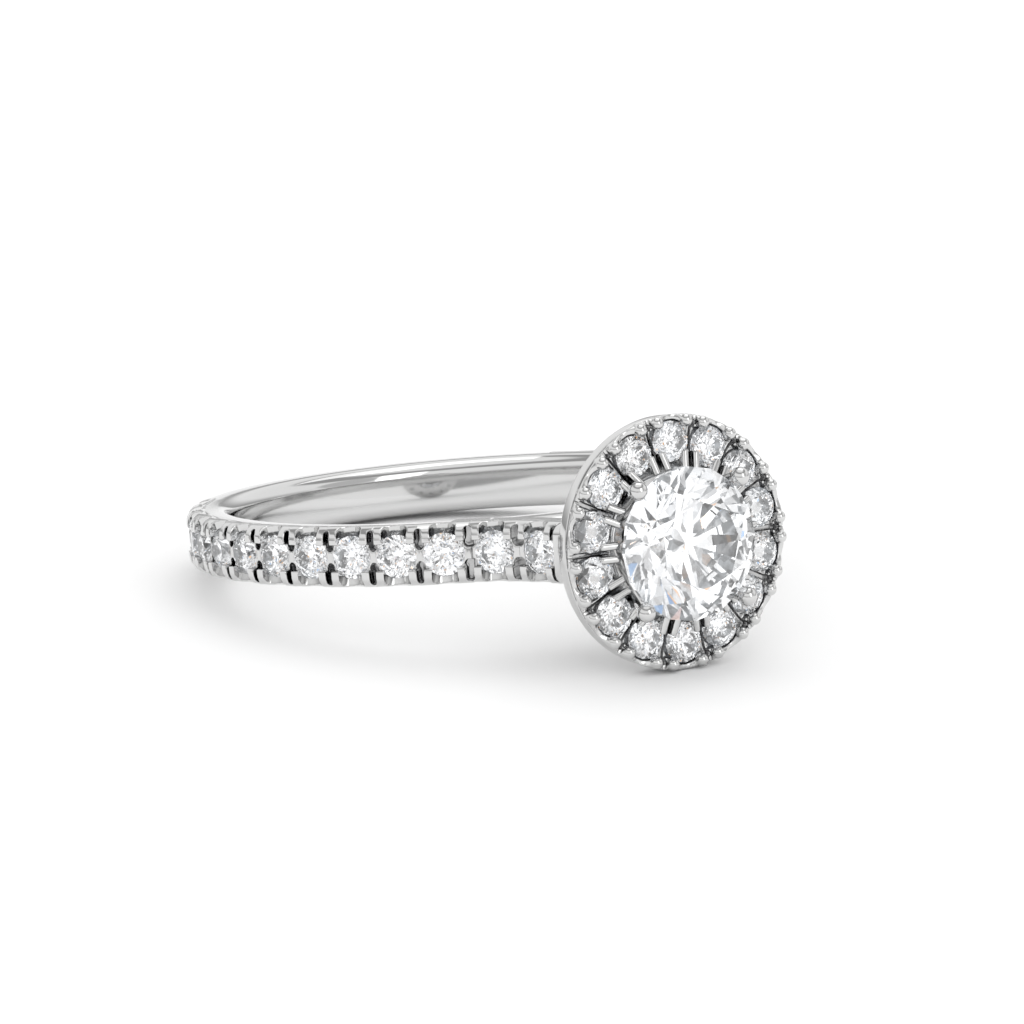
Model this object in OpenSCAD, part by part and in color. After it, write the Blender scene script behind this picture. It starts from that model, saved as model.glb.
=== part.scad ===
// Halo ring: a round brilliant held by four claws inside a ring of small
// brilliants, on a shank whose stone rows sweep up to the head.
// Every piece is drawn about the finger axis (Z) with the head towards +X,
// and the whole ring is then tipped onto its halo rim and its far edge.

/* [Shank] */
// Inside diameter, which is the finger size
bore_d = 17.3; // [15.5:0.1:20]
// Radial thickness of the shank
shank_t = 1.55; // [1.5:0.05:1.8]
// Width of the shank along the finger
shank_w = 1.95; // [1.8:0.05:2.3]
// Rounding where the bore meets the side faces
bore_round = 0.475; // [0.3:0.025:0.55]
// Rounding of the outer edges
edge_round = 0.4; // [0.25:0.025:0.5]

/* [Shoulders] */
// Radius of the sweep from the shank up to the halo
sweep_r = 4.6; // [4:0.1:5.4]
// Thickness of the swept shoulder
shoulder_t = 1.3; // [1.1:0.05:1.35]
// How far the shoulder stands inside the halo rim
shoulder_inset = 0.17; // [0.1:0.01:0.4]
// How deep the sweep is let into the shank where the two meet
sweep_sink = 0.05; // [0.03:0.01:0.08]
// How far the shoulder runs up into the halo
shoulder_embed = 0.2; // [0.1:0.05:0.3]

/* [Shank stones] */
// Diameter of a shank stone
shank_stone_d = 1.43; // [1.2:0.01:1.5]
// Gap between neighbouring shank stones along the row
shank_stone_gap = 0.187; // [0.14:0.01:0.3]
// Number of stones in each row
shank_row_count = 13; // [6:1:14]
// Depth of a girdle below the prong tips
shank_girdle_depth = 0.27; // [0.22:0.01:0.32]
// Drop from the halo's underside to the slot that ends a row
row_end_drop = 0.58; // [0.4:0.01:0.8]
// Width of the slot that ends a row
row_end_slot_w = 0.22; // [0.15:0.01:0.28]
// Radius of the round scallop cut under each stone
scallop_r = 0.46; // [0.42:0.01:0.5]
// Depth of the scallop's centre below the prong tips
scallop_drop = 0.14; // [0.1:0.01:0.2]
// Width of the slot that parts two prongs
prong_slot_w = 0.2; // [0.14:0.01:0.22]
// Depth of the slot that parts two prongs
prong_slot_depth = 0.55; // [0.5:0.01:0.62]
// Metal left between a slot's end and the side face
prong_slot_inset = 0.17; // [0.15:0.01:0.2]
// Distance of the prongs' inner ends from the middle of the row
prong_reach = 0.43; // [0.4:0.01:0.46]
// Width of the opening between four prongs
prong_eye_w = 0.34; // [0.3:0.01:0.4]
// Depth of the opening between four prongs
prong_eye_depth = 0.36; // [0.32:0.01:0.42]
// Half the length of the low web that parts two stones
web_reach = 0.18; // [0.14:0.01:0.22]

/* [Centre stone] */
// Diameter of the centre stone
centre_stone_d = 5; // [4.6:0.05:5.4]
// Height of its girdle above the shank
centre_girdle_h = 3.3; // [3.2:0.05:3.6]

/* [Claws] */
// Diameter of a claw wire
claw_d = 0.5; // [0.4:0.02:0.56]
// Diameter of the ball at a claw's tip
claw_ball_d = 0.63; // [0.58:0.01:0.7]
// Distance of the ball's centre outside the girdle's edge
claw_ball_out = 0.25; // [0.22:0.01:0.28]
// Height of the ball's centre above the girdle
claw_ball_up = 0.16; // [0.12:0.01:0.22]
// Lean of a claw from the head's axis, in degrees
claw_lean = 27.5; // [26:0.5:29]

/* [Collar] */
// Radius of the collar where it leaves the shank
collar_foot_r = 0.93; // [0.8:0.01:0.95]
// Radius of the collar at its top
collar_top_r = 1.45; // [1.4:0.01:1.6]
// Height of the collar above the shank
collar_h = 0.65; // [0.5:0.05:0.7]
// How deep the collar is let into the shank
collar_sink = 0.25; // [0.2:0.05:0.4]

/* [Halo] */
// Diameter of a halo stone
halo_stone_d = 1.33; // [1.2:0.01:1.36]
// Smallest gap between neighbouring halo stones
halo_stone_gap = 0.12; // [0.1:0.01:0.18]
// Distance from the centre stone's edge to the halo's row of stones
halo_row_out = 0.76; // [0.74:0.01:0.82]
// Width of metal outside the row of stones, from the row's centre
halo_rim_out = 0.83; // [0.78:0.01:0.9]
// Height of the halo's underside above the shank
halo_h = 1.84; // [1.75:0.01:1.95]
// Thickness of the halo
halo_t = 0.81; // [0.78:0.01:0.88]
// Depth of a halo stone's girdle below the halo's face
halo_girdle_depth = 0.13; // [0.1:0.01:0.16]
// Thickness of the inner ledge that the claws pass through
ledge_t = 0.36; // [0.3:0.01:0.4]
// Reach of the ledge inside the halo's inner wall
ledge_in = 0.42; // [0.35:0.01:0.5]
// Rounding of the halo's outer face edge
halo_round = 0.16; // [0.12:0.01:0.2]
// Radius of the opening under each halo stone
halo_drill_r = 0.2; // [0.15:0.01:0.24]
// Radius of a halo stone's scallop at the inner wall
halo_scallop_in_r = 0.3; // [0.26:0.01:0.32]
// Radius of a halo stone's scallop at the outer wall
halo_scallop_out_r = 0.42; // [0.36:0.01:0.46]
// Width of the slot between two halo stones
halo_slot_w = 0.17; // [0.12:0.01:0.18]
// Depth of the slot between two halo stones
halo_slot_depth = 0.44; // [0.38:0.01:0.44]
// Metal left between a slot's end and the rim
halo_slot_inset = 0.13; // [0.11:0.01:0.16]
// Radius of the round opening between two halo stones
halo_eye_r = 0.24; // [0.2:0.01:0.26]
// Diameter of a bead at the halo's edge
bead_d = 0.36; // [0.3:0.01:0.38]
// Distance of a bead's centre from the slot beside it
bead_side = 0.3; // [0.29:0.01:0.33]
// Distance of a bead's centre inside the rim
bead_inset = 0.17; // [0.16:0.01:0.19]
// Height of a bead's centre above the halo's face
bead_up = 0.03; // [0:0.01:0.05]

/* [Cut of the stones] */
// Width of the table as a share of the diameter
table_share = 0.57; // [0.53:0.01:0.6]
// Height of the crown as a share of the diameter
crown_share = 0.15; // [0.14:0.005:0.16]
// Depth of the pavilion as a share of the diameter
pavilion_share = 0.43; // [0.42:0.005:0.44]
// Thickness of the girdle as a share of the diameter
girdle_share = 0.03; // [0.02:0.005:0.035]
// Reach of the star facets from the table towards the girdle
star_share = 0.5; // [0.45:0.05:0.55]
// Reach of the lower girdle facets from the girdle to the culet
lower_share = 0.77; // [0.7:0.01:0.8]
// Clearance between a stone and the metal round it
stone_clear = 0.03; // [0.02:0.005:0.04]

/* [Hidden] */
$fn = 64;
metal_colour = "gainsboro";
stone_colour = "azure";

// Main radii about the finger axis
bore_r = bore_d / 2;
shank_r = bore_r + shank_t;
bore_land = shank_w - 2 * bore_round;

// Heights along the head's axis
halo_l = shank_r + halo_h;
halo_face_l = halo_l + halo_t;
halo_girdle_l = halo_face_l - halo_girdle_depth;
centre_girdle_l = shank_r + centre_girdle_h;

// Radii about the head's axis
halo_row_r = centre_stone_d / 2 + halo_row_out;
halo_rim_r = halo_row_r + halo_rim_out;
halo_in_r = centre_stone_d / 2;
claw_ball_r = centre_stone_d / 2 + claw_ball_out;
halo_count = floor(2 * PI * halo_row_r / (halo_stone_d + halo_stone_gap));
halo_step = 360 / halo_count;
rim_chamfer = 0.1;

// Sweep of the shoulders: its centre, and the angle at which it leaves the shank
sweep_y = halo_rim_r - shoulder_inset + sweep_r;
sweep_x = sqrt(pow(shank_r + sweep_r - sweep_sink, 2) - sweep_y * sweep_y);
sweep_angle = atan2(sweep_y, sweep_x);
function sweep_turn(l) = 180 - acos((l - sweep_x) / sweep_r) - sweep_angle;
sweep_span = sweep_turn(halo_l + shoulder_embed);

// Row of shank stones: places along the outer contour, from where the sweep starts
row_pitch = shank_stone_d + shank_stone_gap;
row_start = sweep_turn(halo_l - row_end_drop) * sweep_r * PI / 180;
shank_count = 2 * shank_row_count;

// Resting pose: the tip that lays the halo rim and the far edge on one plane
rest_run = halo_l + rim_chamfer + shank_r - edge_round;
rest_rise = halo_rim_r - shank_w / 2 + edge_round;
rest_tilt = atan2(rest_rise, rest_run) - asin(edge_round / norm([rest_run, rest_rise]));
rest_lift = halo_rim_r * cos(rest_tilt) - (halo_l + rim_chamfer) * sin(rest_tilt);
table_l = centre_girdle_l + crown_share * centre_stone_d;
table_r = table_share * centre_stone_d / 2;
front_x = table_l * cos(rest_tilt) + table_r * sin(rest_tilt);
back_x = (shank_r - edge_round) * cos(rest_tilt)
    + (shank_w / 2 - edge_round) * sin(rest_tilt) + edge_round;

// Room that a cut runs past the face it opens
past = 1;

function two_digits(k) = str(k < 10 ? "0" : "", k);
function halo_name(k) = str("halo_stone_", two_digits(k));
function shank_name(k) = str("shank_stone_", two_digits(k));

// Points of an arc, for rounding a profile
function arc(centre, r, from, to, steps = 6) = [
    for (k = [0:steps])
        let (a = from + (to - from) * k / steps)
        centre + r * [cos(a), sin(a)]
];

// Round brilliant: radii and heights of its rings of corners, as shares of the diameter
star_near = table_share / 2 * cos(22.5);
star_reach = star_near + star_share * (0.5 - star_near);
star_height = crown_share * (1 - (star_reach * cos(22.5) - table_share / 2) / (0.5 - table_share / 2));
tip_reach = (1 - lower_share) / 2;
tip_depth = girdle_share + pavilion_share * (1 - tip_reach * cos(22.5) / 0.5);
culet_depth = girdle_share + pavilion_share;

function corner_ring(count, turn, r, z) = [
    for (k = [0:count - 1])
        let (a = turn + 360 * k / count)
        [r * cos(a), r * sin(a), z]
];

// A round brilliant with its table up and the top of its girdle at z = 0
module round_brilliant(d) {
    table = 0;
    star = 8;
    girdle = 16;
    belt = 32;
    tip = 48;
    culet = 56;
    points = d * concat(
        corner_ring(8, 0, table_share / 2, crown_share),
        corner_ring(8, 22.5, star_reach, star_height),
        corner_ring(16, 0, 0.5, 0),
        corner_ring(16, 0, 0.5, -girdle_share),
        corner_ring(8, 22.5, tip_reach, -tip_depth),
        [[0, 0, -culet_depth]]
    );
    faces = concat(
        [[for (k = [7:-1:0]) table + k]],
        [for (k = [0:7]) [table + k, table + (k + 1) % 8, star + k]],
        [for (k = [0:7]) [table + k, star + k, girdle + 2 * k, star + (k + 7) % 8]],
        [for (k = [0:7]) [girdle + 2 * k, star + k, girdle + 2 * k + 1]],
        [for (k = [0:7]) [girdle + 2 * k + 1, star + k, girdle + (2 * k + 2) % 16]],
        [for (k = [0:15]) [girdle + k, girdle + (k + 1) % 16, belt + (k + 1) % 16, belt + k]],
        [for (k = [0:7]) [belt + 2 * k, belt + 2 * k + 1, tip + k]],
        [for (k = [0:7]) [belt + 2 * k + 1, belt + (2 * k + 2) % 16, tip + k]],
        [for (k = [0:7]) [culet, tip + (k + 7) % 8, belt + 2 * k, tip + k]]
    );
    polyhedron(points, faces);
}

// Room for a stone of diameter d, open above its crown, with a drill hole if wanted
module stone_seat(d, drill_r = 0, drill_depth = 0) {
    wall = d / 2 + stone_clear;
    floor_z = -culet_depth * d - 1.5 * stone_clear;
    slope = (-girdle_share * d - stone_clear / 2 - floor_z) / wall;
    tool_end = drill_r > 0
        ? [[0, -drill_depth], [drill_r, -drill_depth], [drill_r, floor_z + slope * drill_r]]
        : [[0, floor_z]];
    rotate_extrude()
        polygon(concat(tool_end, [
            [wall, -girdle_share * d - stone_clear / 2],
            [wall, stone_clear / 2],
            [star_reach * d + stone_clear, star_height * d + stone_clear],
            [star_reach * d + stone_clear, crown_share * d + past],
            [0, crown_share * d + past]
        ]));
}

// Turns a piece drawn with its top along +Z so that its top faces +X
module facing_out() {
    rotate([0, 90, 0]) children();
}

// A place s along the outer contour: X leads out of the metal and Z along the finger
module on_row(s) {
    if (s > 0) {
        turn = sweep_angle + s / sweep_r * 180 / PI;
        translate([sweep_x, sweep_y, 0])
            rotate(turn)
            translate([-sweep_r, 0, 0])
            children();
    } else {
        rotate(sweep_angle - s / shank_r * 180 / PI)
            translate([shank_r, 0, 0])
            children();
    }
}

// Both rows: each stone's place, and each place between two stones
module each_side() {
    children();
    mirror([0, 1, 0]) children();
}

function stone_place(k) = row_start - row_pitch * (k + 0.5);
function slot_place(k) = row_start - row_pitch * k;

// A place on the halo, a degrees round from the finger axis, r out from the head's axis
module on_halo(a, l, r) {
    rotate([a, 0, 0]) translate([l, 0, r]) children();
}

function halo_angle(k) = halo_step * k;

// Cross-section of the shank: a flat land with rounded edges inside, rounded corners outside
module shank_section() {
    land_z = bore_land / 2;
    edge_z = shank_w / 2 - edge_round;
    translate([bore_r, -land_z])
        square([shank_t / 2, bore_land]);
    translate([bore_r + bore_round, -shank_w / 2])
        square([shank_t - bore_round - edge_round, shank_w]);
    translate([shank_r - shank_t / 2, -edge_z])
        square([shank_t / 2, 2 * edge_z]);
    for (side = [-1, 1]) {
        translate([bore_r + bore_round, side * land_z]) circle(r = bore_round);
        translate([shank_r - edge_round, side * edge_z]) circle(r = edge_round);
    }
}

// Cross-section of a shoulder, with its rounded corners towards the sweep's centre
module shoulder_section() {
    edge_z = shank_w / 2 - edge_round;
    translate([sweep_r, -edge_z])
        square([shoulder_t, 2 * edge_z]);
    translate([sweep_r + edge_round, -shank_w / 2])
        square([shoulder_t - edge_round, shank_w]);
    for (side = [-1, 1])
        translate([sweep_r + edge_round, side * edge_z]) circle(r = edge_round);
}

module shoulder() {
    translate([sweep_x, sweep_y, 0])
        rotate(180 + sweep_angle)
        rotate_extrude(angle = sweep_span)
        shoulder_section();
}

// Cross-section of the halo, height along the head's axis up
module halo_section() {
    polygon(concat(
        [
            [halo_in_r - ledge_in, halo_l],
            [halo_rim_r - rim_chamfer, halo_l],
            [halo_rim_r, halo_l + rim_chamfer]
        ],
        arc([halo_rim_r - halo_round, halo_face_l - halo_round], halo_round, 0, 90),
        arc([halo_in_r + halo_round, halo_face_l - halo_round], halo_round, 90, 180),
        [
            [halo_in_r, halo_l + ledge_t],
            [halo_in_r - ledge_in, halo_l + ledge_t]
        ]
    ));
}

module halo_body() {
    facing_out() rotate_extrude() halo_section();
    for (k = [0:halo_count - 1], side = [-1, 1]) {
        bead_r = halo_rim_r - bead_inset;
        spread = side * asin(bead_side / bead_r);
        on_halo(halo_angle(k + 0.5) + spread, halo_face_l + bead_up, bead_r)
            sphere(d = bead_d);
    }
}

module claw() {
    ball_l = centre_girdle_l + claw_ball_up;
    foot_l = shank_r + collar_h / 2;
    length = (ball_l - foot_l) / cos(claw_lean);
    translate([ball_l, 0, claw_ball_r]) {
        sphere(d = claw_ball_d);
        rotate([0, -90 - claw_lean, 0]) cylinder(d = claw_d, h = length);
    }
}

module collar() {
    translate([shank_r - collar_sink, 0, 0])
        facing_out()
        cylinder(h = collar_sink + collar_h, r1 = collar_foot_r, r2 = collar_top_r);
}

// A cut straight down from the surface: what is drawn has X across the row and Y along it
module cut_down(depth, rise = past) {
    translate([-depth, 0, 0])
        facing_out()
        linear_extrude(depth + rise)
        children();
}

// A slot drawn along X between two places
module straight_slot(from, to, width) {
    translate([(from + to) / 2, 0]) square([to - from, width], center = true);
}

// Between two stones of a row: a slot between the prongs on either side, which stops
// short of the side face, and a shallow opening with a web across its middle
module prong_cut() {
    slot_end = shank_w / 2 - prong_slot_inset;
    for (turn = [0, 180])
        cut_down(prong_slot_depth) rotate(turn) straight_slot(web_reach, slot_end, prong_slot_w);
    cut_down(prong_eye_depth) straight_slot(-prong_reach, prong_reach, prong_eye_w);
}

module shank_cuts() {
    for (k = [0:shank_row_count - 1]) {
        on_row(stone_place(k)) {
            translate([-shank_girdle_depth, 0, 0]) facing_out() stone_seat(shank_stone_d);
            translate([-scallop_drop, 0, 0])
                cylinder(r = scallop_r, h = shank_w + past, center = true);
        }
    }
    for (k = [1:shank_row_count - 1])
        on_row(slot_place(k)) prong_cut();
    on_row(row_start)
        cut_down(prong_slot_depth) straight_slot(-shank_w, shank_w, row_end_slot_w);
}

// Between two halo stones: a slot from the open middle to just inside the rim, with a
// round opening on its way
module halo_slot() {
    rotate(180)
        straight_slot(halo_in_r - stone_clear, halo_rim_r - halo_slot_inset, halo_slot_w);
    translate([-halo_row_r, 0]) circle(r = halo_eye_r);
}

module halo_cuts() {
    wall_in = halo_in_r - ledge_in;
    wall_out = halo_rim_r + past / 4;
    bead_top = bead_up + bead_d / 2 + stone_clear;
    for (k = [0:halo_count - 1]) {
        on_halo(halo_angle(k), halo_girdle_l, halo_row_r)
            facing_out() stone_seat(halo_stone_d, halo_drill_r, halo_t);
        on_halo(halo_angle(k), halo_face_l, wall_in)
            cylinder(h = wall_out - wall_in, r1 = halo_scallop_in_r, r2 = halo_scallop_out_r);
        on_halo(halo_angle(k + 0.5), halo_face_l, 0)
            cut_down(halo_slot_depth, bead_top) halo_slot();
    }
}

// The metal is cast and soldered, so shank, shoulders, head and claws are one solid
module ring_metal() {
    color(metal_colour)
        difference() {
            union() {
                rotate_extrude() shank_section();
                each_side() shoulder();
                halo_body();
                collar();
                for (k = [0:3]) rotate([45 + 90 * k, 0, 0]) claw();
            }
            each_side() shank_cuts();
            halo_cuts();
            translate([centre_girdle_l, 0, 0]) facing_out() stone_seat(centre_stone_d);
        }
}

module centre_stone() {
    color(stone_colour)
        translate([centre_girdle_l, 0, 0])
        facing_out()
        round_brilliant(centre_stone_d);
}

// The stones of a row lie each at a turn of its own
function odd_turn(k) = 17 * k;

module halo_stone(k) {
    color(stone_colour)
        on_halo(halo_angle(k - 1), halo_girdle_l, halo_row_r)
        facing_out()
        rotate(odd_turn(k))
        round_brilliant(halo_stone_d);
}

// Stones 1 to shank_row_count lie on one side, the rest on the other
module shank_stone(k) {
    far = k > shank_row_count;
    color(stone_colour)
        mirror([0, far ? 1 : 0, 0])
        on_row(stone_place(far ? k - shank_row_count - 1 : k - 1))
        translate([-shank_girdle_depth, 0, 0])
        facing_out()
        rotate(odd_turn(k))
        round_brilliant(shank_stone_d);
}

// Lays the ring down, with its middle over the origin
module laid_down() {
    translate([(back_x - front_x) / 2, 0, rest_lift])
        rotate([0, -rest_tilt, 0])
        children();
}

laid_down() ring_metal();
laid_down() centre_stone();
for (k = [1:halo_count])
    laid_down() halo_stone(k);
for (k = [1:shank_count])
    laid_down() shank_stone(k);
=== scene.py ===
import bmesh
import bpy
import math
from mathutils import Matrix, Vector


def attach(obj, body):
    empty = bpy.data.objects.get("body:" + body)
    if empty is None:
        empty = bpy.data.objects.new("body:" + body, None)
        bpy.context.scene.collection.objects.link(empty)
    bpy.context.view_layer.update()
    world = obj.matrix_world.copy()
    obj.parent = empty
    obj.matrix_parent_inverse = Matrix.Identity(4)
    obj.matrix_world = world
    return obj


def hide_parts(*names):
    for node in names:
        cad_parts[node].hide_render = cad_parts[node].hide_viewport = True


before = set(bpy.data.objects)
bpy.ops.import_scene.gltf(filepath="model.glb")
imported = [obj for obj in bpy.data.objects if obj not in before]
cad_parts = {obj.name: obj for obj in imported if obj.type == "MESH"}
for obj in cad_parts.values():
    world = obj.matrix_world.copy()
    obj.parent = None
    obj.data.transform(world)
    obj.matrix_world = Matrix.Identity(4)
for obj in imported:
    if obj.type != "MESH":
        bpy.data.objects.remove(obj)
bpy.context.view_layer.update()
MM = 0.001

# The photograph's view: a long lens a little above the floor, turned so that the
# head comes forward on the right and the shank runs back on the left.
finger_hole = Vector((-2.0626, 0, 2.3451)) * MM
view_azimuth = math.radians(59.0)
view_elevation = math.radians(14.12)
view_distance = 122.55 * MM
view_centre = finger_hole + Vector((0.64, 1.0, 0.07)) * MM
view_back = Vector((
    math.sin(view_azimuth) * math.cos(view_elevation),
    -math.cos(view_azimuth) * math.cos(view_elevation),
    math.sin(view_elevation),
))
bpy.ops.object.camera_add(location=view_centre + view_back * view_distance)
camera = bpy.context.object
camera.rotation_euler = view_back.to_track_quat("Z", "Y").to_euler()
camera.data.lens = 122.4
camera.data.sensor_width = 36
camera.data.clip_start = 0.001
camera.data.clip_end = 10
bpy.context.scene.camera = camera


class Sock:
    """A node's output, so that shader maths reads as plain sums."""

    def __init__(self, tree, link):
        self.tree = tree
        self.link = link

    def _join(self, operation, *values):
        return node(self.tree, "ShaderNodeMath", {"operation": operation}, dict(enumerate(values)))

    def __add__(self, other):
        return self._join("ADD", self, other)

    def __mul__(self, other):
        return self._join("MULTIPLY", self, other)

    def __sub__(self, other):
        return self._join("SUBTRACT", self, other)

    def __rsub__(self, other):
        return self._join("SUBTRACT", other, self)

    def __gt__(self, other):
        return self._join("GREATER_THAN", self, other)

    __radd__ = __add__
    __rmul__ = __mul__


def node(tree, kind, settings, values, output=0):
    """Adds a node, sets its settings first and then its sockets, and gives one output."""
    made = tree.nodes.new(kind)
    for name, value in settings.items():
        setattr(made, name, value)
    for key, value in values.items():
        if isinstance(value, Sock):
            tree.links.new(value.link, made.inputs[key])
        else:
            made.inputs[key].default_value = value
    return Sock(tree, made.outputs[output])


def noise(tree, place, fineness, detail=2):
    """A cloudy noise between 0 and 1."""
    values = {"Vector": place, "Scale": fineness, "Detail": detail}
    return node(tree, "ShaderNodeTexNoise", {}, values, "Fac")


def smooth_step(tree, value, start, end):
    """Rises smoothly from 0 to 1 as the value goes from start to end."""
    values = {"Value": value, "From Min": start, "From Max": end}
    return node(tree, "ShaderNodeMapRange", {"interpolation_type": "SMOOTHSTEP"}, values)


def blend(tree, share, first, second):
    """Goes from the first colour to the second as the share goes from 0 to 1."""
    values = {"Factor": share, "A": first, "B": second}
    return node(tree, "ShaderNodeMix", {"data_type": "RGBA"}, values, "Result")


def vector_maths(tree, operation, values, output=0):
    """One step of maths on vectors."""
    return node(tree, "ShaderNodeVectorMath", {"operation": operation}, values, output)


# The studio: a white floor, a large soft box overhead, a strip light on the right and
# dark flags that give the polished metal and the stones their dark streaks.
glow_straight_on = 0.04
glow_through_stone = 0.3
low_flag = 0.61
high_flag = 0.6
side_flag = 0.4
large_flags = 0.5
small_flags = 0.35
backdrop_lift = 0.2
orange = (1, 0.52, 0.2, 1)
blue = (0.35, 0.6, 1, 1)
white = (1, 1, 1, 1)
bpy.ops.mesh.primitive_plane_add(size=6, location=(0, 0, 0))
floor = bpy.context.object
floor.name = "floor"
floor_paint = bpy.data.materials.new("floor_paint")
floor_paint.use_nodes = True
floor_tree = floor_paint.node_tree
paint = floor_tree.nodes["Principled BSDF"]
paint.inputs["Base Color"].default_value = (0.93, 0.93, 0.93, 1)
paint.inputs["Roughness"].default_value = 0.9
paint.inputs["Specular IOR Level"].default_value = 0.1
paint.inputs["Emission Color"].default_value = white
straight_on = node(floor_tree, "ShaderNodeLightPath", {}, {}, "Is Camera Ray")
through_stone = node(floor_tree, "ShaderNodeLightPath", {}, {}, "Is Transmission Ray")
floor_glow = straight_on * glow_straight_on + through_stone * glow_through_stone
floor_tree.links.new(floor_glow.link, paint.inputs["Emission Strength"])
floor.data.materials.append(floor_paint)

world = bpy.data.worlds.new("studio")
world.use_nodes = True
bpy.context.scene.world = world
sky = world.node_tree
sky.nodes.clear()
aim = node(sky, "ShaderNodeTexCoord", {}, {}, "Generated")
height = node(sky, "ShaderNodeSeparateXYZ", {}, {0: aim}, "Z")


def step_up(start, end):
    """Rises from 0 to 1 as the direction looked in climbs from start to end."""
    return smooth_step(sky, height, start, end)


def card(direction, size, edge):
    """1 in a round patch of sky about a direction, and 0 outside it. Its size is in degrees."""
    values = {0: aim, 1: Vector(direction).normalized()}
    facing = vector_maths(sky, "DOT_PRODUCT", values, "Value")
    outer = math.cos(math.radians(size + edge))
    return smooth_step(sky, facing, outer, math.cos(math.radians(size)))


def ray(kind):
    """1 for light that reaches the sky by this kind of bounce, and 0 for other light."""
    return node(sky, "ShaderNodeLightPath", {}, {}, f"Is {kind} Ray")


def patches(fineness, start, end):
    """Irregular patches of sky, with soft edges between these two levels of a noise."""
    return smooth_step(sky, noise(sky, aim, fineness), start, end)


low_band = (1 - step_up(0.0, 0.3)) * (1 - card((0.87, 0.5, 0), size=22, edge=14))
high_band = step_up(0.62, 0.7) - step_up(0.82, 0.9)
side_card = card((0.9, 0.7, 0.5), size=14, edge=6)
metal_tone = 1.0 - low_band * low_flag - high_band * high_flag - side_flag * side_card
large_patches = patches(9, 0.53, 0.56)
small_patches = patches(18, 0.5, 0.54)
stone_tone = 1.0 - large_flags * large_patches - small_flags * small_patches
through = ray("Transmission")
mirrored = ray("Glossy") * (1 - through)
backdrop = backdrop_lift * ray("Camera")
tone = 1.0 + mirrored * (metal_tone - 1.0) + through * (stone_tone - 1.0) + backdrop
fire = blend(sky, patches(3, 0.53, 0.57), orange, blue)
flash = blend(sky, through * patches(20, 0.625, 0.645), white, fire)
shown = node(sky, "ShaderNodeBackground", {}, {"Color": flash, "Strength": tone})
sky_out = sky.nodes.new("ShaderNodeOutputWorld")
sky.links.new(shown.link, sky_out.inputs["Surface"])


def soft_box(name, place, width, depth, watts):
    """An area light that faces the ring and doesn't show in the picture itself."""
    bpy.ops.object.light_add(type="AREA", location=place)
    light = bpy.context.object
    light.name = name
    light.rotation_euler = (Vector(place) - finger_hole).to_track_quat("Z", "Y").to_euler()
    light.data.shape = "RECTANGLE"
    light.data.size = width
    light.data.size_y = depth
    light.data.energy = watts
    light.visible_camera = False


soft_box("overhead_box", (-0.1, 0.1, 0.3), width=0.24, depth=0.24, watts=0.16)
soft_box("right_strip", (0.3, 0.05, 0.15), width=0.14, depth=0.24, watts=0.1)
bpy.context.scene.view_settings.view_transform = "Standard"

# All the metal is white gold, cast, soldered and polished to a mirror. Fine marks of the polishing
# wheel lie in the shine, and a faint haze dulls it where fingers have been. The slots and crevices
# get painted shade: an ambient occlusion mask darkens the base colour where other metal lies near.
bright_gold = (0.71, 0.71, 0.705, 1)
hazed_gold = (0.67, 0.67, 0.67, 1)
# Painted shade: the dark base colour that slots and crevices get.
painted_crevice_shade = (0.27, 0.27, 0.275, 1)
painted_shade_reach = 0.42
least_rough = 0.03
haze_rough = 0.05
marks_rough = 0.03
white_gold = bpy.data.materials.new("white_gold")
white_gold.use_nodes = True
gold = white_gold.node_tree
gold_skin = gold.nodes["Principled BSDF"]
gold_skin.inputs["Metallic"].default_value = 1
where = node(gold, "ShaderNodeTexCoord", {}, {}, "Object")
haze = noise(gold, where, 420, detail=3)
wheel_marks = noise(gold, where, 9000)
polish = least_rough + haze * haze_rough + wheel_marks * marks_rough
tint = blend(gold, haze, bright_gold, hazed_gold)
# Painted shade: ambient occlusion within this reach darkens the metal's colour in slots and
# crevices.
within = {"Distance": painted_shade_reach * MM}
openness = node(gold, "ShaderNodeAmbientOcclusion", {"samples": 5}, within, "AO")
unshaded_share = smooth_step(gold, openness, 0.06, 0.65)
tint = blend(gold, unshaded_share, painted_crevice_shade, tint)
gold.links.new(polish.link, gold_skin.inputs["Roughness"])
gold.links.new(tint.link, gold_skin.inputs["Base Color"])

# The shank is a bar of white gold bent into a ring and soldered, with a polished bore
# and plain sides. Two shoulders leave it in a hollow sweep and end under the halo, and
# small pits in the metal take the points of the stones.
bore_r = 8.65
shank_r = 10.2
half_w = 0.975
bore_round = 0.475
edge_round = 0.4
slot_depth = 0.62
sweep_r = 4.6
sweep_x = 12.0404
sweep_y = 8.52
sweep_angle = 35.284
sweep_turn = 57.2
shoulder_t = 1.3
row_start = 3.8109
row_pitch = 1.617
row_count = 13
girdle_depth = 0.27
shank_stone_r = 0.715
slot_w = 0.22
cover_t = 0.8
cover_overlap = 0.2
bridge_turn = 24
pit_clearance = 0.04
ring_tilt = math.radians(-8.0706)

# The shares of a brilliant that its girdle, crown, table, pavilion and culet take, and the
# tools' own measures: how finely bars bend and rings turn, how long a cutter is, and how
# near each other corners lie that count as one or are welded together.
belt_share = 0.03
crown_share = 0.15
table_share = 0.57
pavilion_share = 0.43
culet_share = 0.004
bend_step = 1.25
lathe_steps = 224
cutter_l = 2
same = 1e-5
weld = 0.0005

face_out = Matrix(((0, 0, 1, 0), (1, 0, 0, 0), (0, 1, 0, 0), (0, 0, 0, 1)))
ring_pose = (Matrix.Translation(finger_hole)
             @ Matrix.Rotation(ring_tilt, 4, "Y")
             @ Matrix.Scale(MM, 4))


def pick(*pieces):
    """Selects these pieces alone and makes the first one active."""
    bpy.ops.object.select_all(action="DESELECT")
    for piece in pieces:
        piece.select_set(True)
    bpy.context.view_layer.objects.active = pieces[0]


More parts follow.
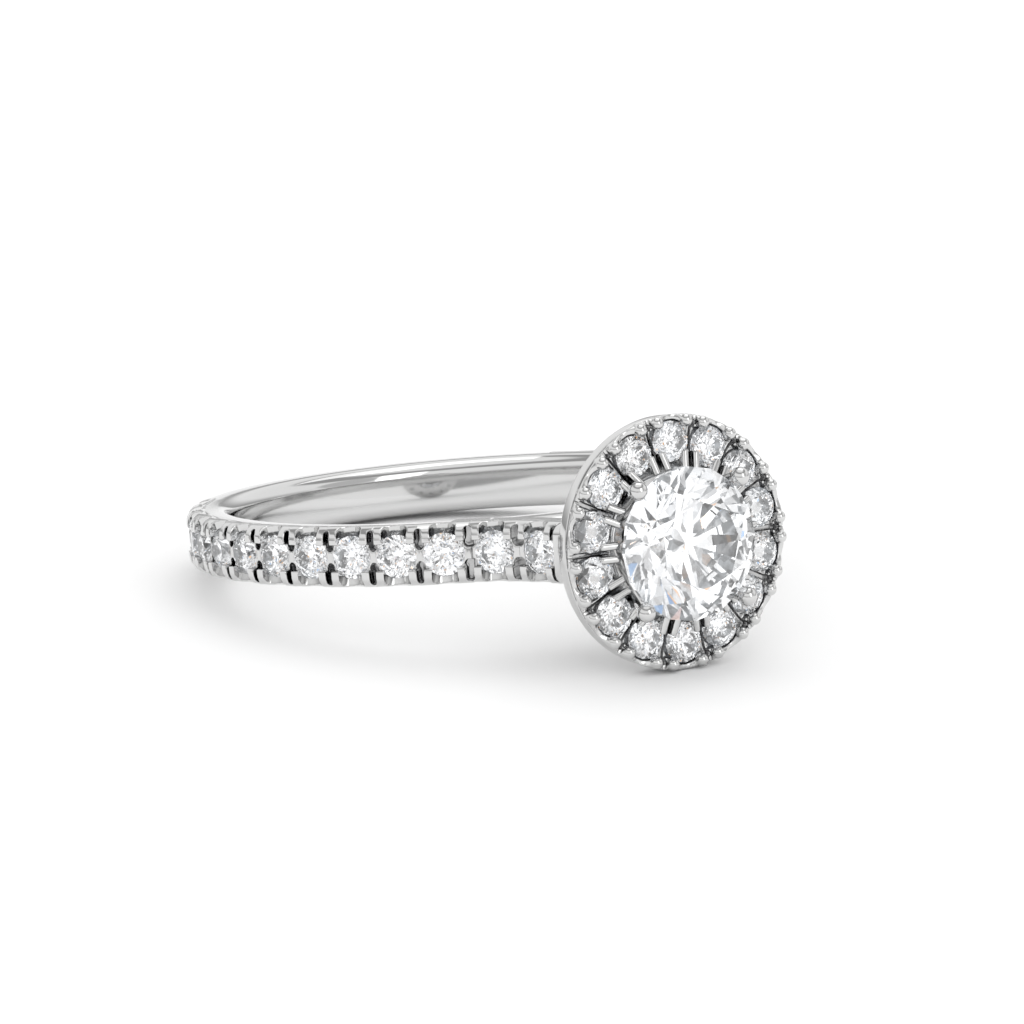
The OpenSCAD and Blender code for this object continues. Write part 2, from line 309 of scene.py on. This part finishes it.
def modify(piece, kind, **settings):
    """Adds one modifier, sets it and applies it."""
    pick(piece)
    change = piece.modifiers.new("change", kind)
    for name, value in settings.items():
        setattr(change, name, value)
    bpy.ops.object.modifier_apply(modifier=change.name)


def combine(piece, tool, operation="UNION"):
    """Adds a tool's shape to a piece, or does another operation, and clears the tool away."""
    modify(piece, "BOOLEAN", object=tool, operation=operation, solver="EXACT")
    bpy.data.objects.remove(tool)


def cut(piece, tool):
    """Takes a tool's shape out of a piece and clears the tool away."""
    combine(piece, tool, "DIFFERENCE")


def joined(pieces):
    """Several meshes as one object."""
    pick(*pieces)
    bpy.ops.object.join()
    return bpy.context.object


def placed(piece, place):
    """Moves a piece by a matrix and writes the move into its mesh."""
    pick(piece)
    piece.matrix_world = place
    bpy.ops.object.transform_apply()
    return piece


def select_points(piece, test):
    """In edit mode, selects the corners whose place passes the test."""
    bpy.ops.mesh.select_mode(type="VERT")
    bpy.ops.mesh.select_all(action="DESELECT")
    shape = bmesh.from_edit_mesh(piece.data)
    for corner in shape.verts:
        corner.select = test(corner.co)
    shape.select_flush(True)
    bmesh.update_edit_mesh(piece.data)


def spun_bar(inner, outer, inner_round, outer_round, start, turn, centre=(0, 0, 0)):
    """A bar as wide as the shank, swept about an axis along the finger."""
    middle = (inner + outer) / 2
    on_edge = (math.pi / 2, 0, 0)
    bpy.ops.mesh.primitive_plane_add(size=1, location=(middle, 0, 0), rotation=on_edge)
    bar = bpy.context.object
    bar.scale = (outer - inner, 2 * half_w, 1)
    bpy.ops.object.transform_apply()
    bpy.ops.object.mode_set(mode="EDIT")
    for rounding, inside in ((inner_round, True), (outer_round, False)):
        if rounding > 0:
            select_points(
                bar, lambda co: abs(abs(co.z) - half_w) < same and (co.x < middle) == inside)
            bpy.ops.mesh.bevel(offset=rounding, segments=8, profile=0.5, affect="VERTICES")
    bpy.ops.mesh.select_all(action="SELECT")
    if turn == 360:
        bpy.ops.mesh.delete(type="ONLY_FACE")
        bpy.ops.mesh.select_all(action="SELECT")
    steps = max(8, int(turn / bend_step))
    bpy.ops.mesh.spin(steps=steps, angle=math.radians(turn), center=(0, 0, 0), axis=(0, 0, -1))
    bpy.ops.mesh.select_all(action="SELECT")
    bpy.ops.mesh.remove_doubles(threshold=weld)
    bpy.ops.mesh.normals_make_consistent(inside=False)
    bpy.ops.object.mode_set(mode="OBJECT")
    return placed(bar, Matrix.Translation(centre) @ Matrix.Rotation(math.radians(start), 4, "Z"))


def on_row(along, side):
    """A place on a stone row: X runs along it, Y along the finger and Z out of the metal."""
    if along > 0:
        turn = side * (math.radians(sweep_angle) + along / sweep_r)
        start = Matrix.Translation((sweep_x, side * sweep_y, 0))
        reach = -sweep_r
    else:
        turn = side * (math.radians(sweep_angle) - along / shank_r)
        start = Matrix.Identity(4)
        reach = shank_r
    return start @ Matrix.Rotation(turn, 4, "Z") @ Matrix.Translation((reach, 0, 0)) @ face_out


def box(x, y, z):
    """A block from its three pairs of limits."""
    bpy.ops.mesh.primitive_cube_add(size=1)
    block = bpy.context.object
    size = Matrix.Diagonal((x[1] - x[0], y[1] - y[0], z[1] - z[0], 1))
    return placed(block, Matrix.Translation((sum(x) / 2, sum(y) / 2, sum(z) / 2)) @ size)


def rod(radius, length, place, vertices=48):
    """A cylinder along its own Z, centred on its place."""
    bpy.ops.mesh.primitive_cylinder_add(vertices=vertices, radius=radius, depth=length)
    return placed(bpy.context.object, place)


def cutter(radius, x, y, bottom, vertices=48):
    """A rod that comes down from above and stops at this height, to cut a round hole."""
    return rod(radius, cutter_l, Matrix.Translation((x, y, cutter_l / 2 + bottom)), vertices)


def stone_tool(radius, girdle_z, clearance):
    """The room that a brilliant takes up: a cone below the girdle and a flat one above."""
    d = 2 * radius
    belt = belt_share * d
    wide = radius + clearance
    tool = rod(wide, belt, Matrix.Translation((0, 0, girdle_z - belt / 2)), 40)
    bpy.ops.object.mode_set(mode="EDIT")
    crown = (True, crown_share * d + clearance, table_share * radius / wide)
    pavilion = (False, pavilion_share * d + clearance, culet_share)
    for top, height, narrow in (crown, pavilion):
        edge = girdle_z if top else girdle_z - belt
        select_points(tool, lambda co: abs(co.z - edge) < same)
        move = height if top else -height
        bpy.ops.mesh.extrude_region_move(TRANSFORM_OT_translate={"value": (0, 0, move)})
        bpy.ops.transform.resize(value=(narrow, narrow, 1), center_override=(0, 0, 0))
    bpy.ops.object.mode_set(mode="OBJECT")
    return tool


along_row = [row_start - row_pitch * (k + 0.5) for k in range(row_count)]
row_places = [(along, side) for side in (1, -1) for along in along_row]
shank = spun_bar(bore_r, shank_r - slot_depth, bore_round, 0, 0, 360)
row_end = row_count * row_pitch - row_start - cover_overlap
row_end_angle = sweep_angle + math.degrees(row_end / shank_r)
stub_angle = math.degrees((row_start + slot_w / 2) / sweep_r)
extras = [
    spun_bar(shank_r - cover_t, shank_r, 0, edge_round, -bridge_turn, 2 * bridge_turn),
    spun_bar(shank_r - cover_t, shank_r, 0, edge_round, row_end_angle, 360 - 2 * row_end_angle),
]
for side in (1, -1):
    centre = (sweep_x, side * sweep_y, 0)
    foot = sweep_r + slot_depth
    back = sweep_r + shoulder_t
    first = 180 + sweep_angle if side > 0 else 180 - sweep_angle - sweep_turn
    extras.append(spun_bar(foot, back, 0, 0, first, sweep_turn, centre))
    stub = 180 + sweep_angle + stub_angle if side > 0 else 180 - sweep_angle - sweep_turn
    left = sweep_turn - stub_angle
    extras.append(spun_bar(sweep_r, back, edge_round, 0, stub, left, centre))
for extra in extras:
    combine(shank, extra)
pits = [
    placed(stone_tool(shank_stone_r, -girdle_depth, pit_clearance), on_row(*place))
    for place in row_places
]
cut(shank, joined(pits))


def finished(piece, name, crease=30):
    """Names a piece of the metal, smooths it, sets it in the ring's pose and tells the frame."""
    piece.name = name
    piece.data.name = name
    pick(piece)
    piece.matrix_world = ring_pose
    bpy.ops.object.transform_apply()
    bpy.ops.object.shade_smooth_by_angle(angle=math.radians(crease))
    piece.data.materials.clear()
    piece.data.materials.append(white_gold)
    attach(piece, "root")
    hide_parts("ring_metal")


finished(shank, "shank")

# Each shank stone sits in a seat of its own: four prongs cut from the metal by a round
# pocket above and below the stone and half a slot at either end, and pushed down onto its
# edge. The seat is cast with the shank, and its edges are rounded by polishing.
slot_cut = 0.6
slot_end = 0.9
slot_lap = 0.06
prong_reach = 0.43
seat_lap = 0.03
seat_proud = 0.025
seat_sink = 0.06
seat_splay = 0.11
opening_r = 0.6
opening_depth = 0.3
pocket_r = 0.43
pocket_length = 1.2
pocket_at = 0.62
pocket_depth = 0.14
pocket_rise = math.radians(9)
web_at = 0.35
web_depth = 0.24
web_hole_r = 0.165
above = 0.2
aside = 1.2
stone_fit = 0.006
narrowing = 0.004


def soften(piece, voxel, rounds, keep):
    """Polishes off a piece's sharp edges and thins its mesh."""
    modify(piece, "REMESH", mode="VOXEL", voxel_size=voxel, adaptivity=0)
    modify(piece, "SMOOTH", factor=0.5, iterations=rounds)
    modify(piece, "DECIMATE", decimate_type="COLLAPSE", ratio=keep)


def repeated(piece, place):
    """A copy of a piece with its own mesh, moved to its place."""
    copied = piece.copy()
    copied.data = piece.data.copy()
    bpy.context.collection.objects.link(copied)
    return placed(copied, place)


half_seat = row_pitch / 2 + seat_lap
wall = half_w + seat_proud
seat = box((-half_seat, half_seat), (-wall, wall), (-slot_depth - seat_sink, 0))
bpy.ops.object.mode_set(mode="EDIT")
foot_z = -slot_depth - seat_sink
select_points(seat, lambda co: co.z < foot_z + same)
bpy.ops.transform.resize(value=(1 + seat_splay / half_seat, 1, 1), center_override=(0, 0, 0))
bpy.ops.mesh.select_mode(type="EDGE")
bpy.ops.mesh.select_all(action="DESELECT")
shape = bmesh.from_edit_mesh(seat.data)
for edge in shape.edges:
    first, last = edge.verts
    lowest = min(first.co.z, last.co.z)
    edge.select = lowest > -same and abs(first.co.y - last.co.y) < same
bmesh.update_edit_mesh(seat.data)
bpy.ops.mesh.bevel(offset=edge_round, segments=6, profile=0.5, affect="EDGES")
bpy.ops.object.mode_set(mode="OBJECT")
lying = Matrix.Rotation(math.pi / 2, 4, "X")
cut(seat, cutter(opening_r, 0, 0, -opening_depth))
for up in (-1, 1):
    rising = Matrix.Rotation(up * pocket_rise, 4, "X") @ lying
    pocket_place = Matrix.Translation((0, up * pocket_at, -pocket_depth)) @ rising
    cut(seat, rod(pocket_r, pocket_length, pocket_place))
for end in (-1, 1):
    middle = end * row_pitch / 2
    beyond = sorted((middle - end * slot_w / 2, end * aside))
    outward = sorted((end * web_at, end * aside))
    cut(seat, box(outward, (-prong_reach, prong_reach), (-web_depth, above)))
    for up in (-1, 1):
        round_at = up * (slot_end - slot_w / 2)
        run = sorted((up * (prong_reach - slot_lap), round_at))
        cut(seat, box(beyond, run, (-slot_cut, above)))
        cut(seat, cutter(slot_w / 2, middle, round_at, -slot_cut, 24))
        cut(seat, cutter(web_hole_r, middle, up * web_at, -slot_cut, 24))
soften(seat, voxel=0.025, rounds=4, keep=0.3)
cut(seat, stone_tool(shank_stone_r, -girdle_depth, stone_fit))

for number, place in enumerate(row_places, 1):
    # Every other seat is a little narrower, so that no two sides lie in one plane.
    narrowed = Matrix.Diagonal((1, 1 - narrowing * (number % 2), 1, 1))
    finished(repeated(seat, on_row(*place) @ narrowed), f"shank_seat_{number:02d}")
bpy.data.objects.remove(seat)

# The halo is a cast ring round the head with a plain polished rim, a ledge inside that
# the claws pass through, and a drilled pit under each of its fourteen stones.
halo_l = 12.04
halo_face_l = 12.85
halo_row_r = 3.26
halo_rim_r = 4.09
halo_stone_r = 0.665
halo_girdle_z = -0.13
halo_count = 14
halo_slot_w = 0.18
halo_slot_depth = 0.44
halo_in_r = 2.08
rim_in_r = 4.0
rim_drop = 0.33
ledge_r = 2.64
ledge_edge_r = 2.3
ledge_dip = 0.1
ledge_drop = 0.28
drill_r = 0.2
halo_angles = [k * 360 / halo_count for k in range(halo_count)]


def on_halo(angle, radius, height):
    """A place on the halo: X runs round it, Y away from its middle and Z out of its face."""
    return (Matrix.Rotation(math.radians(angle), 4, "X")
            @ Matrix.Translation((height, 0, radius)) @ face_out)


def turned(profile, rounds):
    """A ring turned on a lathe about the head's axis from its outline (radius, height)."""
    bpy.ops.mesh.primitive_circle_add(vertices=len(profile), radius=1)
    ring = bpy.context.object
    for corner, (radius, height) in zip(ring.data.vertices, profile):
        corner.co = (height, 0, radius)
    bpy.ops.object.mode_set(mode="EDIT")
    bpy.ops.mesh.select_all(action="SELECT")
    bpy.ops.mesh.edge_face_add()
    for corner, rounding in rounds:
        point = Vector((corner[1], 0, corner[0]))
        select_points(ring, lambda co: (co - point).length < same)
        bpy.ops.mesh.bevel(offset=rounding, segments=6, profile=0.5, affect="VERTICES")
    bpy.ops.mesh.select_all(action="SELECT")
    bpy.ops.mesh.delete(type="ONLY_FACE")
    bpy.ops.mesh.select_all(action="SELECT")
    bpy.ops.mesh.spin(steps=lathe_steps, angle=2 * math.pi, center=(0, 0, 0), axis=(1, 0, 0))
    bpy.ops.mesh.select_all(action="SELECT")
    bpy.ops.mesh.remove_doubles(threshold=weld)
    bpy.ops.mesh.normals_make_consistent(inside=False)
    bpy.ops.object.mode_set(mode="OBJECT")
    return ring


halo_top_l = halo_face_l - halo_slot_depth
rim_top_l = halo_face_l - rim_drop
ledge_edge_l = halo_top_l - ledge_drop
rim_profile = [
    (halo_in_r, halo_l), (halo_rim_r, halo_l), (halo_rim_r, rim_top_l),
    (rim_in_r, rim_top_l), (rim_in_r, halo_top_l), (ledge_r, halo_top_l),
    (ledge_edge_r, halo_top_l - ledge_dip), (halo_in_r, ledge_edge_l),
]
halo = turned(rim_profile, [
    ((halo_rim_r, halo_l), 0.12), ((halo_rim_r, rim_top_l), 0.03),
    ((halo_in_r, ledge_edge_l), 0.03), ((halo_in_r, halo_l), 0.04),
])
halo_places = [on_halo(angle, halo_row_r, halo_face_l) for angle in halo_angles]
pits = [
    placed(stone_tool(halo_stone_r, halo_girdle_z, pit_clearance), place)
    for place in halo_places
]
cut(halo, joined(pits))
drills = [rod(drill_r, cutter_l, on_halo(angle, halo_row_r, halo_l), 24) for angle in halo_angles]
cut(halo, joined(drills))
finished(halo, "halo_ring")

# Each halo stone sits in a cup cast on the ring: two bars run in beside it to the middle,
# and a rounded lip passes round its outside and ends in two beads pushed over its edge.
half_step = math.pi / halo_count
to_halo_middle = Matrix.Translation((0, -halo_row_r, 0))
cup_in_r = 2.66
cup_step_r = 3.74
cup_wall_r = 4.03
cup_foot_z = -0.52
cup_step_z = -0.3
bar_w = 0.24
bar_r = 0.13
lip_r = 0.14
lip_row_r = 3.995
bead_r = 0.215
bead_side = 0.325
bead_row_r = 3.93
bead_z = 0.01
bead_post_r = 0.195
bead_post_h = 0.26
cup_slot_start = 1.9
cup_slot_end = 3.98
slot_end_r = 0.12
lip_z = -0.12
bar_z = 0.04
bar_mid_r = 2.67
bar_length = 0.62
bar_lean = math.radians(-16)
bar_foot = (2.4, 2.98, -0.5, -0.03)
dip_r = 0.6
dip_z = 0.48
room_r = 0.715
room_z = -0.26
notch = (0.1, 3.9, 4.3, -0.1)
half_joint = 0.002
far = 20
cup_voxel = 0.02


def beside_slot(side, first, last, inner, outer, low, high):
    """A block along one side of a cup, at distances first to last from the slot's middle."""
    block = box(sorted((-side * first, -side * last)), (inner, outer), (low, high))
    return placed(block, to_halo_middle @ Matrix.Rotation(-side * half_step, 4, "Z"))


cup_profile = [
    (cup_in_r, cup_foot_z), (cup_wall_r, cup_foot_z), (cup_wall_r, lip_z),
    (cup_step_r, lip_z), (cup_step_r, cup_step_z), (cup_in_r, cup_step_z),
]
cup = turned([(radius, halo_face_l + height) for radius, height in cup_profile], [])
bpy.ops.mesh.primitive_torus_add(
    major_radius=lip_row_r, minor_radius=lip_r, major_segments=lathe_steps, minor_segments=20)
upright = Matrix.Rotation(math.pi / 2, 4, "Y")
lip = placed(bpy.context.object, Matrix.Translation((halo_face_l + lip_z, 0, 0)) @ upright)
parts = []
for part in (cup, lip):
    placed(part, on_halo(0, halo_row_r, halo_face_l).inverted())
    dip_place = Matrix.Translation((0, cutter_l / 2, dip_z)) @ lying
    cut(part, rod(dip_r, cutter_l, dip_place, 64))
    cut(part, cutter(room_r, 0, 0, room_z, 64))
    for side in (1, -1):
        cut(part, beside_slot(side, half_joint, -far, -far, far, -2, 2))
    parts.append(part)
for side in (1, -1):
    parts.append(beside_slot(side, half_joint, halo_slot_w / 2 + bar_w, *bar_foot))
    bar_x = -side * (halo_slot_w + bar_w) / 2
    bar_place = (to_halo_middle
                 @ Matrix.Rotation(-side * half_step, 4, "Z")
                 @ Matrix.Translation((bar_x, bar_mid_r, bar_z))
                 @ Matrix.Rotation(bar_lean, 4, "X"))
    parts.append(rod(bar_r, bar_length, bar_place @ lying, 24))
    turn = half_step - bead_side / bead_row_r
    bead_x = side * bead_row_r * math.sin(turn)
    bead_y = bead_row_r * math.cos(turn) - halo_row_r
    post_place = Matrix.Translation((bead_x, bead_y, -bead_post_h / 2))
    parts.append(rod(bead_post_r, bead_post_h, post_place, 32))
    bpy.ops.mesh.primitive_uv_sphere_add(segments=32, ring_count=16, radius=bead_r)
    parts.append(placed(bpy.context.object, Matrix.Translation((bead_x, bead_y, bead_z))))
cup = joined(parts)
modify(cup, "REMESH", mode="VOXEL", voxel_size=cup_voxel, adaptivity=0)
for side in (1, -1):
    end_r = cup_slot_end - slot_end_r
    slot = beside_slot(side, -1, halo_slot_w / 2, cup_slot_start, end_r, -halo_slot_depth, 2)
    cut(cup, slot)
    end_x = side * math.sin(half_step) * end_r
    end_y = math.cos(half_step) * end_r - halo_row_r
    cut(cup, cutter(slot_end_r, end_x, end_y, -halo_slot_depth, 24))
    cut(cup, beside_slot(side, -1, *notch, 2))
soften(cup, voxel=cup_voxel, rounds=5, keep=0.16)
cut(cup, stone_tool(halo_stone_r, halo_girdle_z, stone_fit))
for number, place in enumerate(halo_places, 1):
    finished(repeated(cup, place), f"halo_cup_{number:02d}")
bpy.data.objects.remove(cup)

# Four claws of round wire rise from a turned collar, which is soldered on the shank, and
# pass inside the halo to the centre stone. Each is melted to a ball and bent over its edge.
centre_girdle_l = 13.5
centre_stone_r = 2.5
claw_foot_l = 10.525
claw_ball_l = 13.66
claw_ball_at = 2.75
claw_ball_r = 0.315
claw_wire_r = 0.25
claw_fit = 0.01
claw_lean = math.radians(27.5)
claw_length = (claw_ball_l - claw_foot_l) / math.cos(claw_lean)
bpy.ops.mesh.primitive_uv_sphere_add(segments=48, ring_count=24, radius=claw_ball_r)
ball = bpy.context.object
wire = rod(claw_wire_r, claw_length, Matrix.Translation((0, 0, -claw_length / 2)), 40)
claw = joined([ball, wire])
soften(claw, voxel=0.03, rounds=4, keep=0.3)
leaning = face_out @ Matrix.Rotation(-claw_lean, 4, "X")
placed(claw, Matrix.Translation((claw_ball_l, 0, claw_ball_at)) @ leaning)
girdle_place = Matrix.Translation((centre_girdle_l, 0, 0)) @ face_out
cut(claw, placed(stone_tool(centre_stone_r, 0, claw_fit), girdle_place))
for number, angle in enumerate((45, 135, 225, 315), 1):
    finished(repeated(claw, Matrix.Rotation(math.radians(angle), 4, "X")), f"claw_{number}", 60)
bpy.data.objects.remove(claw)
collar_profile = [(0.5, 9.95), (0.93, 9.95), (1.45, 10.85), (1.2, 10.85), (0.5, 10.4)]
collar = turned(collar_profile, [((1.45, 10.85), 0.08), ((1.2, 10.85), 0.08)])
finished(collar, "collar")

# The stones are round brilliants in the frame's own shape, cut from clear diamond and polished
# on every facet. Some fine facets glow faintly, for light that is lost on its way through them,
# and in the small stones each fine facet leans a little from the frame's own.
cool_white = (0.965, 0.975, 1, 1)
dim_facet = (0.1, 0.1, 0.1, 1)
lit_facet = (0.9, 0.95, 1, 1)
dim_share = 0.78


def diamond(name, facet, lean):
    """Clear diamond. Its fine facets are this wide, some glow, and all lean by about this much."""
    stuff = bpy.data.materials.new(name)
    stuff.use_nodes = True
    tree = stuff.node_tree
    gem = tree.nodes["Principled BSDF"]
    gem.inputs["Roughness"].default_value = 0
    gem.inputs["IOR"].default_value = 2.417
    gem.inputs["Transmission Weight"].default_value = 1
    gem.inputs["Emission Strength"].default_value = 0.09
    inside = node(tree, "ShaderNodeTexCoord", {}, {}, "Object")
    body_colour = blend(tree, noise(tree, inside, 700), white, cool_white)
    tree.links.new(body_colour.link, gem.inputs["Base Color"])
    cells = node(tree, "ShaderNodeTexVoronoi", {}, {"Vector": inside, "Scale": 1 / facet}, "Color")
    chance = node(tree, "ShaderNodeSeparateColor", {}, {0: cells}, "Red")
    glow = blend(tree, chance > dim_share, dim_facet, lit_facet)
    tree.links.new(glow.link, gem.inputs["Emission Color"])
    if lean > 0:
        level = vector_maths(tree, "SUBTRACT", {0: cells, 1: (0.5, 0.5, 0.5)})
        tipped = vector_maths(tree, "SCALE", {0: level, "Scale": lean})
        facing = node(tree, "ShaderNodeNewGeometry", {}, {}, "Normal")
        leaning = vector_maths(tree, "ADD", {0: facing, 1: tipped})
        fine_facet = vector_maths(tree, "NORMALIZE", {0: leaning})
        tree.links.new(fine_facet.link, gem.inputs["Normal"])
    return stuff


large_cut = diamond("centre_diamond", 0.7 * MM, 0)
small_cut = diamond("small_diamond", 0.28 * MM, 0.035)
for name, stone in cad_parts.items():
    if name != "ring_metal":
        stone.data.materials.clear()
        stone.data.materials.append(large_cut if name == "centre_stone" else small_cut)
